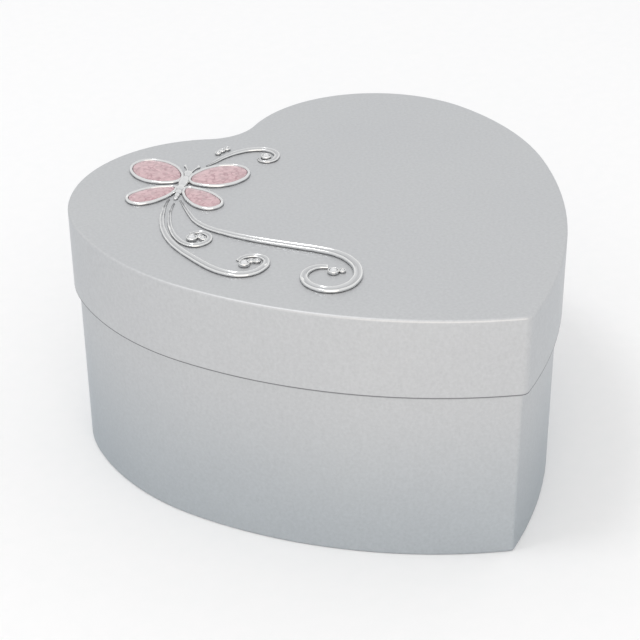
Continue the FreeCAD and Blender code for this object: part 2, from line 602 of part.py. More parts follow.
def make_governor_frame():
    foot_top = BED_TOP + 1.5
    back_y = WORM_Y + FAN_R + 0.8
    foot = box(PLATE_X, BED_RIGHT - 0.5, -3.5, back_y + 2, BED_TOP, foot_top)
    inner = box(PLATE_X, PLATE_X + POST_T, -3.5, IDLER_Y + 3.2, BED_TOP, FAN_Z - 0.6)
    outer = box(BACK_PLATE_X, BACK_PLATE_X + POST_T, IDLER_Y - 3, IDLER_Y + 3.2, BED_TOP, IDLER_Z + 3)
    pillar = box(WORM_X - 3, WORM_X + 3, back_y, back_y + 2, BED_TOP, ARM_Z + 1.2)
    arm = box(WORM_X - 2.2, WORM_X + 2.2, WORM_Y - 2.2, back_y + 2, ARM_Z, ARM_Z + 1.2)
    pieces = [inner, outer, pillar, arm]
    guide_x = STOP_X - BARREL_X
    guide_y = STOP_Y - BARREL_Y
    for z in (BED_TOP + 3, BED_TOP + 10):
        pieces.append(box(WORM_X, guide_x, back_y, back_y + 2, z, z + 1.5))
        pieces.append(rod(STOP_R + 1.2, guide_x, guide_y, z, z + 1.5))
    frame = join(foot, pieces)
    frame = frame.cut(rod(STOP_R + RUN_FIT, guide_x, guide_y, BED_TOP, ARM_Z))
    frame = frame.cut(rod_x(SHAFT_R + RUN_FIT, PLATE_X - 1, PLATE_X + POST_T + 1, 0, AXIS_Z))
    frame = frame.cut(rod_x(IDLER_SHAFT_R + RUN_FIT, PLATE_X - 1, BACK_PLATE_X + 3, IDLER_Y, IDLER_Z))
    frame = frame.cut(rod(FAN_SHAFT_R + RUN_FIT, WORM_X, WORM_Y, BED_TOP - 1, ARM_Z + 3))
    screws = []
    for x, y in governor_screw_places():
        frame = frame.cut(rod(1.0, x, y, BED_TOP - 1, BED_TOP + 3))
        screws.append(screw(x, y, foot_top, 0.9, 3.0, 1.7, 1.1, 1))
    return frame, screws


def make_comb():
    """Steel comb: slots of growing depth part its tuned teeth."""
    z0 = AXIS_Z - COMB_T / 2
    tip = -(PIN_R + COMB_GAP)
    width = NOTES * NOTE_PITCH
    x0 = CYLINDER_X + (CYLINDER_LENGTH - width) / 2
    comb = box(x0, x0 + width, -comb_back(), tip, z0, z0 + COMB_T)
    longest = COMB_LENGTH - COMB_BODY
    slots = []
    for number in range(1, NOTES):
        depth = longest * (1 - 0.4 * number / NOTES)
        x = x0 + number * NOTE_PITCH
        slots.append(box(x - COMB_SLOT / 2, x + COMB_SLOT / 2, tip - depth, tip + 1, z0 - 1, z0 + 2))
    comb = comb.cut(slots)
    screws = []
    for x, y in comb_screw_places():
        comb = comb.cut(rod(1.1, x, y, z0 - 1, z0 + 2))
        screws.append(screw(x, y, z0 + COMB_T, 1.0, 4.5, 2.0, 1.3, 1))
    return comb, screws


def make_stop():
    """Upright rod that the closing lid presses down; its finger then stands by the fan."""
    top = LINING_Z - STOP_GAP
    upright = rod(STOP_R, STOP_X, STOP_Y, BED_TOP + 1.9, top - 1.0)
    fan_at = V(WORM_X, WORM_Y, 0) + BARREL_AT
    away = V(STOP_X, STOP_Y, 0) - fan_at
    length = away.Length - FAN_R - 0.35
    away.normalize()
    finger_z = FAN_Z + FAN_HEIGHT * 0.55
    finger = Part.makeCylinder(STOP_R, length, V(STOP_X, STOP_Y, finger_z), away * -1)
    button = rod(STOP_BUTTON_R, STOP_X, STOP_Y, top - 3.0, top)
    button = button.makeFillet(STOP_BUTTON_R * 0.6, edges_at(button, top))
    button = button.cut(rod(STOP_R + PRESS_FIT, STOP_X, STOP_Y, 0, top - 0.9))
    return join(upright, [finger]), button


BODY_X = -24.7                 # middle of the butterfly's body
BODY_Y = 9.2                   # from the line through both lobe centres
BODY_TURN = 45.0               # degrees from +X to the butterfly's head
FOREWING = [(3.0, 1.35), (6.6, 2.5), (9.2, 4.8), (10.7, 7.9), (10.7, 10.8), (9.0, 12.8), (6.6, 13.2),
            (3.8, 12.0), (1.5, 9.4), (0.6, 6.6), (0.8, 3.8), (1.5, 2.1)]
HINDWING = [(-1.9, 1.5), (-2.1, 3.4), (-3.2, 6.4), (-5.2, 8.9), (-7.4, 10.3), (-9.3, 9.9), (-10.4, 8.0),
            (-9.6, 5.6), (-7.6, 3.5), (-5.0, 1.9), (-3.2, 1.4)]


def lid_point(forward, left):
    """Place on the lid's top, given in the butterfly's own directions."""
    turn = math.radians(BODY_TURN)
    ahead = V(math.cos(turn), math.sin(turn), 0)
    aside = V(-math.sin(turn), math.cos(turn), 0)
    return V(BODY_X, BODY_Y + LOBE_Y, BOX_HEIGHT) + ahead * forward + aside * left


def closed_curve(points):
    curve = Part.BSplineCurve()
    curve.interpolate(points, PeriodicFlag=True)
    return curve


def inset_points(curve, inset, side):
    """Points along a closed curve, moved inward; side is -1 for a curve that runs clockwise."""
    points = []
    for step in range(24):
        at = curve.FirstParameter + (curve.LastParameter - curve.FirstParameter) * step / 24
        along = curve.tangent(at)[0]
        points.append(curve.value(at) + V(-along.y, along.x, 0) * (inset * side))
    return points


def upright(curve, height):
    return Part.Face(Part.Wire(curve.toShape())).extrude(V(0, 0, height))


def make_butterfly():
    """Cast rim of four cells with the body and feelers, and an enamel fill for each cell."""
    fills = []
    rims = []
    for outline in (FOREWING, HINDWING):
        for side in (1, -1):
            cell = closed_curve([lid_point(u, v * side) for u, v in outline])
            edge = closed_curve(inset_points(cell, -RIM_W, side))
            fill = closed_curve(inset_points(cell, ENAMEL_FIT, side))
            rims.append(upright(edge, RIM_HEIGHT).cut(upright(cell, RIM_HEIGHT)))
            fills.append(upright(fill, ENAMEL_HEIGHT))
    trunk = []
    for forward, length, radius in ((-5.4, 3.4, 0.6), (0.2, 8.8, 1.0), (5.5, 2.4, 1.2)):
        trunk.append(Part.makeCylinder(radius, length, lid_point(forward - length / 2, 0),
                                       lid_point(1, 0) - lid_point(0, 0)))
    feelers = []
    for side in (1, -1):
        feelers.append(Part.makeCylinder(0.3, 3.6, lid_point(6.2, side * 0.5) + V(0, 0, 0.3),
                                         lid_point(4.5, side * 0.9) - lid_point(0, 0)))
    above = box(-100, 100, -100, 100, BOX_HEIGHT, BOX_HEIGHT + 10)
    frame = join(rims[0], rims[1:] + [piece.common(above) for piece in trunk + feelers])
    return frame, fills


def ribbon(points, start_w, middle_w, end_w):
    """Raised ribbon along a smooth curve through the points; its width swells and tapers."""
    curve = Part.BSplineCurve()
    curve.interpolate([V(x, y + LOBE_Y, BOX_HEIGHT) for x, y in points])
    steps = 4 * (len(points) - 1)
    first, last = curve.FirstParameter, curve.LastParameter
    sides = ([], [])
    for step in range(steps + 1):
        part = step / steps
        at = first + (last - first) * part
        swell = (middle_w - (start_w + end_w) / 2) * 4 * part * (1 - part)
        width = start_w + (end_w - start_w) * part + swell
        along = curve.tangent(at)[0]
        across = V(-along.y, along.x, 0)
        sides[0].append(curve.value(at) + across * (width / 2))
        sides[1].append(curve.value(at) - across * (width / 2))
    edges = []
    for side in sides:
        line = Part.BSplineCurve()
        line.interpolate(side)
        edges.append(line.toShape())
    edges.append(Part.makeLine(sides[0][0], sides[1][0]))
    edges.append(Part.makeLine(sides[0][-1], sides[1][-1]))
    face = Part.Face(Part.Wire(Part.__sortEdges__(edges)))
    return face.extrude(V(0, 0, SCROLL_HEIGHT))


LONG_SCROLL = [(-29.0, 3.1), (-29.9, 0.1), (-31.1, -4.3), (-31.7, -7.6), (-31.3, -11.7), (-29.5, -16.2),
               (-27.3, -20.3), (-24.2, -25.1), (-20.9, -29.7), (-17.7, -34.2), (-15.7, -38.1),
               (-15.3, -42.1), (-16.7, -46.3), (-19.7, -49.2), (-23.2, -50.1), (-26.1, -49.0),
               (-27.8, -46.3), (-27.8, -43.2), (-26.4, -40.9), (-24.2, -39.8), (-22.0, -40.0),
               (-20.6, -41.0)]
SHORT_SCROLL = [(-30.9, 2.7), (-33.3, 0.3), (-35.8, -3.3), (-38.0, -7.7), (-39.1, -11.8), (-39.0, -14.9),
                (-37.8, -16.8), (-35.8, -17.2), (-34.0, -16.5), (-33.0, -15.0), (-33.2, -13.2),
                (-34.4, -12.0), (-35.8, -11.9)]
SIDE_SCROLL = [(-30.7, 5.1), (-32.5, 3.6), (-35.0, 0.6), (-37.6, -3.1), (-39.8, -7.8), (-41.0, -12.5),
               (-41.3, -17.0), (-41.1, -21.0), (-40.8, -24.2), (-40.3, -27.3), (-39.2, -30.4), (-37.3, -32.9),
               (-34.8, -34.0), (-32.0, -33.6), (-29.8, -32.1), (-29.1, -30.1), (-30.1, -28.2), (-32.1, -27.3),
               (-34.1, -27.7)]
TOP_SCROLL = [(-15.0, 14.4), (-12.3, 15.0), (-8.8, 15.9), (-4.9, 16.0), (-1.4, 15.0), (0.9, 13.0),
              (1.5, 10.5), (0.4, 8.5), (-1.9, 7.7), (-3.5, 8.9), (-3.2, 10.8)]
# Cut stones: place and radius
STONES = [(-20.9, -43.4, 0.85), (-19.3, -44.1, 0.5), (-33.9, -29.9, 0.85), (-32.1, -29.7, 0.5),
          (-31.0, -30.4, 0.5), (-36.7, -13.9, 0.85), (-35.2, -14.1, 0.5), (-34.7, -15.3, 0.5),
          (-1.5, 10.0, 0.85), (-9.3, 18.4, 0.5), (-7.9, 18.9, 0.5), (-6.4, 19.0, 0.5)]


def make_stones():
    return [Part.makeCone(radius, radius * 0.55, radius * STONE_RISE, V(x, y + LOBE_Y, BOX_HEIGHT))
            for x, y, radius in STONES]


def placed(shapes):
    """Moves clockwork pieces from the barrel's axis to their place in the box."""
    for shape in shapes:
        shape.translate(BARREL_AT)
    return shapes


def build():
    parts = {}
    parts["base_shell"] = make_base()
    parts["floor_plate"], parts["felt_pad"] = make_floor()
    parts["floor_screws"] = [screw(x, y, FLOOR_Z, 1.2, 4.2, 2.6, 1.2, -1) for x, y in boss_places()]
    parts["movement_screws"] = [screw(x, y, FLOOR_Z, 1.0, 2.6, 2.2, 1.1, -1) for x, y in MOVEMENT_SCREWS]
    parts["tray_insert"] = make_tray()
    parts["lid_shell"], parts["lid_lining"] = make_lid()
    parts["hinge_base_leaf"], parts["hinge_lid_leaf"], parts["hinge_pin"] = make_hinge()

    parts["bedplate"] = placed([make_bedplate()])
    for name, shape in zip(("spring_barrel", "barrel_cap", "mainspring"), placed(list(make_barrel()))):
        parts[name] = shape
    for name, shape in zip(("winding_arbor", "ratchet_wheel", "click_spring", "click_rivet", "winding_key"),
                           placed(list(make_winding()))):
        parts[name] = shape
    bridge, screws = make_bridge()
    parts["barrel_bridge"] = placed([bridge])
    parts["bridge_screws"] = placed(screws)
    for name, shape in zip(("cylinder_arbor", "tune_cylinder", "cylinder_pinion", "cylinder_gear"),
                           placed(list(make_cylinder()))):
        parts[name] = shape
    for name, shape in zip(("idler_shaft", "idler_pinion", "worm_wheel"), placed(list(make_idler()))):
        parts[name] = shape
    for name, shape in zip(("worm_shaft", "fan"), placed(list(make_worm()))):
        parts[name] = shape
    frame, screws = make_governor_frame()
    parts["governor_frame"] = placed([frame])
    parts["governor_screws"] = placed(screws)
    comb, screws = make_comb()
    parts["comb"] = placed([comb])
    parts["comb_screws"] = placed(screws)
    parts["stop_rod"], parts["stop_button"] = make_stop()

    frame, fills = make_butterfly()
    parts["butterfly_frame"] = frame
    for name, shape in zip(("left_forewing", "right_forewing", "left_hindwing", "right_hindwing"), fills):
        parts[name + "_enamel"] = shape
    parts["long_scroll"] = ribbon(LONG_SCROLL, 0.5, 2.0, 0.7)
    parts["short_scroll"] = ribbon(SHORT_SCROLL, 0.4, 1.3, 0.6)
    parts["side_scroll"] = ribbon(SIDE_SCROLL, 0.4, 1.7, 0.6)
    parts["top_scroll"] = ribbon(TOP_SCROLL, 0.5, 1.5, 0.6)
    parts["crystals"] = make_stones()
    return parts


os.makedirs("parts", exist_ok=True)
for node, shape in build().items():
    solids = shape if isinstance(shape, list) else [shape]
    bodies = [solid for item in solids for solid in item.Solids]
    whole = bodies[0] if len(bodies) == 1 else Part.makeCompound(bodies)
    whole.exportStep("parts/" + node + ".step")
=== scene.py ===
"""Heart-shaped wind-up music box: ornament, linings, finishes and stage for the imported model."""

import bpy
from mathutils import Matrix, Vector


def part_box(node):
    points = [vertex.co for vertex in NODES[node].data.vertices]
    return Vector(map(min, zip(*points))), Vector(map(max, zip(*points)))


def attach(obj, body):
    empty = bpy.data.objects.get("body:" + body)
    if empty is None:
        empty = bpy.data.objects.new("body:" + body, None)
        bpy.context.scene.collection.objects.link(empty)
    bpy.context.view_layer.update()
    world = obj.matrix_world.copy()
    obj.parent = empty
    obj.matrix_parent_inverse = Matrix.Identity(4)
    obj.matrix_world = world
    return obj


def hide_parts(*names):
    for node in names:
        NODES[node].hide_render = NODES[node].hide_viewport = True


bl_info = {
    "name": "Heart Music Box",
    "version": (1, 0, 0),
    "blender": (4, 5, 0),
    "location": "3D View > Sidebar > Music Box",
    "description": "Dresses the packed heart-shaped music box with its ornament, linings "
                   "and finishes",
    "category": "Object",
}

import math

import bpy
from mathutils import Matrix, Vector

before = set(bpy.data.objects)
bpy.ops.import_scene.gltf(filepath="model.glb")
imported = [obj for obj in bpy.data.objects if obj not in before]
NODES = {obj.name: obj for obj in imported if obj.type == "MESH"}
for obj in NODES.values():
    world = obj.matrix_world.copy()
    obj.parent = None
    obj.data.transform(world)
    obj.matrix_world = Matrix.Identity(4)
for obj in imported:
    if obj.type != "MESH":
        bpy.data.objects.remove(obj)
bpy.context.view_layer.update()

MM = 0.001
LID_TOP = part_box("lid_shell")[1][2]
SKIRT_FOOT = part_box("lid_shell")[0][2]
PACKED_EDGE = 1.6 * MM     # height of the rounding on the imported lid's top edge
WELD = 0.005 * MM          # points of one skin that lie closer than this become one
SMOOTH_ANGLE = math.radians(40)
LINING_ROUND = 0.3 * MM    # softening of the linings' edges
FOOT_SHADE_HEIGHT = 44 * MM     # from here down the plate's colour is painted gradually darker and cooler, as shade towards the foot
LOBE_Y = 23.67             # mm, line through both lobe centres
BODY_AT = (-24.7, 9.2)     # mm, middle of the butterfly, from that line
BODY_TURN = math.radians(45)
SEAT = 0.01 * MM           # lift of enamel and stones, so that they share no face with the lid

# Outlines of the wing cells in mm: ahead and aside of the butterfly's middle, left wing
FOREWING = [(3.0, 1.35), (6.6, 2.5), (9.2, 4.8), (10.7, 7.9), (10.7, 10.8), (9.0, 12.8),
            (6.6, 13.2), (3.8, 12.0), (1.5, 9.4), (0.6, 6.6), (0.8, 3.8), (1.5, 2.1)]
HINDWING = [(-1.9, 1.5), (-2.1, 3.4), (-3.2, 6.4), (-5.2, 8.9), (-7.4, 10.3), (-9.3, 9.9),
            (-10.4, 8.0), (-9.6, 5.6), (-7.6, 3.5), (-5.0, 1.9), (-3.2, 1.4)]
CELL_FIT = 0.04            # mm, enamel inside its cell's outline
CELL_WELD = 0.02 * MM      # the same as WELD, for the enamel's edge
# Steps of the enamel's dome: what is left of its width, and its rise in mm
DOME = ((0.94, 0.09), (0.86, 0.08), (0.75, 0.06), (0.55, 0.03))

# Scroll lines in mm from the lobe line, with the band's width at start, middle and end
SCROLLS = {
    "long_scroll": (
        [(-29.0, 3.1), (-29.9, 0.1), (-31.1, -4.3), (-31.7, -7.6), (-31.3, -11.7), (-29.5, -16.2),
         (-27.3, -20.3), (-24.2, -25.1), (-20.9, -29.7), (-17.7, -34.2), (-15.7, -38.1),
         (-15.3, -42.1), (-16.7, -46.3), (-19.7, -49.2), (-23.2, -50.1), (-26.1, -49.0),
         (-27.8, -46.3), (-27.8, -43.2), (-26.4, -40.9), (-24.2, -39.8), (-22.0, -40.0),
         (-20.6, -41.0)], (0.5, 2.0, 1.2)),
    "short_scroll": (
        [(-30.9, 2.7), (-33.3, 0.3), (-35.8, -3.3), (-38.0, -7.7), (-39.1, -11.8), (-39.0, -14.9),
         (-37.8, -16.8), (-35.8, -17.2), (-34.0, -16.5), (-33.0, -15.0), (-33.2, -13.2),
         (-34.4, -12.0), (-35.8, -11.9)], (0.4, 1.3, 0.8)),
    "side_scroll": (
        [(-30.7, 5.1), (-32.5, 3.6), (-35.0, 0.6), (-37.6, -3.1), (-39.8, -7.8), (-41.0, -12.5),
         (-41.3, -17.0), (-41.1, -21.0), (-40.8, -24.2), (-40.3, -27.3), (-39.2, -30.4),
         (-37.3, -32.9), (-34.8, -34.0), (-32.0, -33.6), (-29.8, -32.1), (-29.1, -30.1),
         (-30.1, -28.2), (-32.1, -27.3), (-34.1, -27.7)], (0.4, 1.7, 0.9)),
    "top_scroll": (
        [(-15.0, 14.4), (-12.3, 15.0), (-8.8, 15.9), (-4.9, 16.0), (-1.4, 15.0), (0.9, 13.0),
         (1.5, 10.5), (0.4, 8.5), (-1.9, 7.7), (-3.5, 8.9), (-3.2, 10.8)], (0.5, 1.5, 0.6)),
}
# Right halves of cross-sections over a half width of one: rounded rim, band hollowed along its
# middle, low body
RIM_PROFILE = [(0.9, 0.02), (0.98, 0.5), (0.8, 1.2), (0.45, 1.62), (0, 1.75)]
BAND_PROFILE = [(0.9, 0.02), (1.0, 0.25), (0.92, 0.6), (0.72, 0.78), (0.5, 0.66), (0, 0.46)]
BODY_PROFILE = [(0.92, 0.02), (1.0, 0.35), (0.85, 0.75), (0.5, 1.0), (0, 1.08)]

# Cut stones by the scroll that carries them: place and radius in mm, the largest in the curl
STONES = {
    "long_scroll": [(-20.9, -43.4, 0.85), (-19.2, -44.2, 0.5)],
    "side_scroll": [(-33.9, -29.9, 0.85), (-32.0, -29.7, 0.5), (-31.0, -30.4, 0.5)],
    "short_scroll": [(-36.7, -13.9, 0.85), (-34.9, -14.2, 0.5), (-34.8, -15.4, 0.5)],
    "top_scroll": [(-1.5, 10.0, 0.85), (-9.3, 18.4, 0.5), (-7.9, 18.9, 0.5), (-6.4, 19.0, 0.5)],
}
FACETS = 10                # round a stone
GIRDLE = 0.3 * MM          # upright edge of a stone of 1 mm radius
CROWN = ((0.2, 0.35), (0.3, 0.25))   # its rows of facets: narrowing, and rise in mm
CROWN_TURN = math.radians(18)        # from one row to the next
STONE_TURN = 0.7           # radians, from one stone to the next
RING_KNOTS = 8
RING_GAP = 0.06            # mm, from a stone to the middle of its ring
RING_WIRE = (0.08, 0.14)   # half width of a ring: mm, and share of the stone's radius
RING_RISE = 2.2            # height of a ring, against a rim as thick

# The butterfly's body: mm ahead of its middle, and its radius there
BODY_SWELL = [(-7.4, 0.1), (-7.1, 0.36), (-6.6, 0.52), (-6.0, 0.42), (-5.3, 0.64), (-4.6, 0.5),
              (-3.8, 0.8), (-3.0, 0.64), (-2.0, 0.98), (-1.0, 0.84), (0.4, 1.06), (1.8, 1.06),
              (3.0, 0.86), (4.0, 0.64), (4.7, 0.74), (5.6, 1.0), (6.4, 0.72), (6.8, 0.1)]
# One feeler: mm ahead and aside of the butterfly's middle, and its half width there
FEELER = [(6.1, 0.45, 0.26), (7.6, 0.7, 0.2), (8.9, 1.2, 0.2), (9.5, 1.6, 0.34), (9.8, 1.8, 0.12)]

AIM = Vector((0, -0.8 * MM, 30 * MM))   # point that the camera's aim is measured from
SENSOR_WIDTH = 36          # mm
CLIP_START = 0.01
FLOOR_SIZE = 6
# Area lamps: place and size in metres, watts, colour
LAMPS = (("key_lamp", (-0.6, -1.0, 0.45), 1.1, 3.6, "#FFF3E4"),
         ("top_lamp", (-0.35, 0.1, 1.0), 0.22, 1.3, "#FFFFFF"))
LAMP_AIM = Vector((0, 0, 0.03))
SKY_LIGHT, SKY_SEEN = 0.88, 1.0   # sky's strength as light on matt things, and where it is seen


def linear(hex_text):
    """sRGB hex value as the linear colour that Blender's sockets take."""
    channels = [int(hex_text[i:i + 2], 16) / 255 for i in (1, 3, 5)]
    return (*(c / 12.92 if c <= 0.04045 else ((c + 0.055) / 1.055) ** 2.4 for c in channels), 1.0)


class MusicBoxFinish(bpy.types.PropertyGroup):
    """Colours of the box's finishes."""
    silver: bpy.props.FloatVectorProperty(
        name="Satin silver", description="Plated sheet of lid and base", subtype="COLOR",
        size=4, min=0, max=1, default=linear("#CACBCC"))
    # This colour is a painted highlight, laid along the ridges of the raised work.
    ornament: bpy.props.FloatVectorProperty(
        name="Bright silver", description="Polished top of the raised ornament", subtype="COLOR",
        size=4, min=0, max=1, default=linear("#F4F4F2"))
    oxide: bpy.props.FloatVectorProperty(
        name="Grey oxide", description="Toned foot of the raised ornament", subtype="COLOR",
        size=4, min=0, max=1, default=linear("#98999C"))
    enamel: bpy.props.FloatVectorProperty(
        name="Pink enamel", description="Wing fill between the glitter flakes", subtype="COLOR",
        size=4, min=0, max=1, default=linear("#CBABAF"))
    velvet: bpy.props.FloatVectorProperty(
        name="Velvet", description="Pile of tray and lid lining", subtype="COLOR",
        size=4, min=0, max=1, default=linear("#4B4B57"))


class MusicBoxSizes(bpy.types.PropertyGroup):
    """Sizes of the lid's edge and of the ornament's raised work."""
    edge_round: bpy.props.FloatProperty(
        name="Lid edge", description="Rounding of the lid's top edge", unit="LENGTH",
        default=0.6 * MM, min=0.2 * MM, max=1.5 * MM)
    rim_radius: bpy.props.FloatProperty(
        name="Wing rim", description="Half width of the rim round a wing", unit="LENGTH",
        default=0.4 * MM, min=0.1 * MM, max=1 * MM)
    enamel_rise: bpy.props.FloatProperty(
        name="Enamel rise", description="Height of a wing fill at its edge", unit="LENGTH",
        default=0.42 * MM, min=0.1 * MM, max=1 * MM)
    stone_scale: bpy.props.FloatProperty(
        name="Stone size", description="Size of the cut stones, 1 as drawn",
        default=1.12, min=0.5, max=1.5)


class MusicBoxView(bpy.types.PropertyGroup):
    """Where the camera of the main picture stands."""
    azimuth: bpy.props.FloatProperty(
        name="Azimuth", description="Turn of the view about the box", subtype="ANGLE",
        default=math.radians(-35.281))
    elevation: bpy.props.FloatProperty(
        name="Elevation", description="View's height above the horizon", subtype="ANGLE",
        default=math.radians(30.765))
    roll: bpy.props.FloatProperty(
        name="Roll", description="Tilt of the camera about its view", subtype="ANGLE",
        default=math.radians(0.493))
    distance: bpy.props.FloatProperty(
        name="Distance", description="Camera from the aim point", unit="LENGTH",
        default=395.5 * MM)
    lens: bpy.props.FloatProperty(
        name="Lens", description="Focal length in millimetres on a 36 mm sensor", default=97.97)
    aim_right: bpy.props.FloatProperty(
        name="Aim right", description="Sideways place of the view's middle", unit="LENGTH",
        default=-8.95 * MM)
    aim_up: bpy.props.FloatProperty(
        name="Aim up", description="Upward place of the view's middle", unit="LENGTH",
        default=1.0 * MM)


def leave_edit():
    if bpy.context.object and bpy.context.object.mode != "OBJECT":
        bpy.ops.object.mode_set(mode="OBJECT")
    bpy.ops.object.select_all(action="DESELECT")


def pick(*pieces):
    leave_edit()
    for piece in pieces:
        piece.select_set(True)
    bpy.context.view_layer.objects.active = pieces[0]


def edit_all(piece):
    pick(piece)
    bpy.ops.object.mode_set(mode="EDIT")
    bpy.ops.mesh.select_all(action="SELECT")


def choose(piece, wanted):
    """Goes into edit mode with just the faces selected that pass the test."""
    edit_all(piece)
    bpy.ops.mesh.select_all(action="DESELECT")
    bpy.ops.object.mode_set(mode="OBJECT")
    for face in piece.data.polygons:
        face.select = wanted(face)
    bpy.ops.object.mode_set(mode="EDIT")


def copy_of(node):
    """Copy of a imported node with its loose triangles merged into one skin."""
    pick(NODES[node])
    bpy.ops.object.duplicate()
    copy = bpy.context.object
    bpy.ops.mesh.customdata_custom_splitnormals_clear()
    edit_all(copy)
    bpy.ops.mesh.remove_doubles(threshold=WELD)
    leave_edit()
    return copy


def join(pieces):
    pick(*pieces)
    bpy.ops.object.join()
    return bpy.context.object


def finish(piece, name, body, slot, material, *nodes):
    """Names a piece, puts its place in its mesh, gives it its material, ties it to its body and
    hides the nodes it replaces.
    """
    pick(piece)
    bpy.ops.object.transform_apply(location=True, rotation=True, scale=True)
    piece.name = name
    piece.data.name = name
    piece.data.materials.clear()
    piece.data.materials.append(material)
    bpy.ops.object.shade_smooth_by_angle(angle=SMOOTH_ANGLE)
    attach(piece, body)
    if nodes:
        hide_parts(*nodes)
    leave_edit()
    return piece


def on_lid(x, y, rise=0.0):
    """Point on the lid's top from mm beside the midline and mm from the lobe line."""
    return Vector((x * MM, (y + LOBE_Y) * MM, LID_TOP + rise))


def on_butterfly(ahead, aside, rise=0.0):
    """Point on the lid's top from mm ahead and aside of the butterfly's middle."""
    x = BODY_AT[0] + ahead * math.cos(BODY_TURN) - aside * math.sin(BODY_TURN)
    y = BODY_AT[1] + ahead * math.sin(BODY_TURN) + aside * math.cos(BODY_TURN)
    return on_lid(x, y, rise)


def inset_outline(outline, inset):
    """Outline moved inward, each corner square to the line between its neighbours."""
    moved = []
    count = len(outline)
    for i, point in enumerate(outline):
        before = Vector(outline[i - 1])
        after = Vector(outline[(i + 1) % count])
        along = (after - before).normalized()
        moved.append((point[0] - along.y * inset, point[1] + along.x * inset))
    return moved


def draw_curve(points, radii, closed, steps):
    """Smooth curve through the points, with a radius at each."""
    leave_edit()
    bpy.ops.curve.primitive_bezier_curve_add(location=(0, 0, 0))
    curve = bpy.context.object
    curve.data.dimensions = "3D"
    spline = curve.data.splines[0]
    spline.bezier_points.add(len(points) - 2)
    for knot, place, radius in zip(spline.bezier_points, points, radii):
        knot.co = place
        knot.radius = radius
        knot.handle_left_type = "AUTO"
        knot.handle_right_type = "AUTO"
    spline.use_cyclic_u = closed
    spline.resolution_u = steps
    return curve


def bent_wire(points, radii, closed, steps, half_profile=None):
    """Mesh along the points: a bare line, or a band of the profile whose right half is given.

    The profile is scaled by the radii, in mm.
    """
    profile = None
    if half_profile:
        outline = half_profile + [(-x, y) for x, y in reversed(half_profile) if x > 0]
        corners = [Vector((x * MM, y * MM, 0)) for x, y in outline]
        profile = draw_curve(corners, [1] * len(corners), closed=True, steps=3)
    wire = draw_curve(points, radii, closed, steps)
    if profile:
        wire.data.twist_mode = "Z_UP"
        wire.data.bevel_mode = "OBJECT"
        wire.data.bevel_object = profile
    wire.data.use_fill_caps = not closed
    pick(wire)
    bpy.ops.object.convert(target="MESH")
    wire = bpy.context.object
    if profile:
        pick(profile)
        bpy.ops.object.delete()
        edit_all(wire)
        bpy.ops.mesh.remove_doubles(threshold=WELD)
        bpy.ops.mesh.select_all(action="SELECT")
        bpy.ops.mesh.normals_make_consistent(inside=False)
    leave_edit()
    return wire


def add(tree, kind, inputs=None, stops=(), **settings):
    """Adds a node, or goes on with one that is there.

    An input is given a value or the socket it is linked from.
    """
    node = tree.nodes.new(kind) if isinstance(kind, str) else kind
    for key, value in settings.items():
        setattr(node, key, value)
    for key, value in (inputs or {}).items():
        if isinstance(value, bpy.types.NodeSocket):
            tree.links.new(value, node.inputs[key])
        else:
            node.inputs[key].default_value = value
    for number, (place, colour) in enumerate(stops):
        band = node.color_ramp.elements
        stop = band[number] if number < 2 else band.new(place)
        stop.position, stop.color = place, colour
    return node


def per_mm(size):
    """Texture scale whose pattern repeats about every size millimetres."""
    return 1.0 / (size * MM)


def shader(name, metallic=0.0, roughness=0.5, **constants):
    """New material; returns it with its tree, Principled node and Object coordinates."""
    material = bpy.data.materials.new(name)
    material.use_nodes = True
    tree = material.node_tree
    surface = tree.nodes["Principled BSDF"]
    surface.inputs["Metallic"].default_value = metallic
    surface.inputs["Roughness"].default_value = roughness
    for key, value in constants.items():
        surface.inputs[key.replace("_", " ")].default_value = value
    coords = add(tree, "ShaderNodeTexCoord").outputs["Object"]
    return material, tree, surface, coords


def shade(colour, factor):
    """Colour made darker or lighter, still opaque."""
    return (*(min(1.0, c * factor) for c in colour[:3]), 1.0)


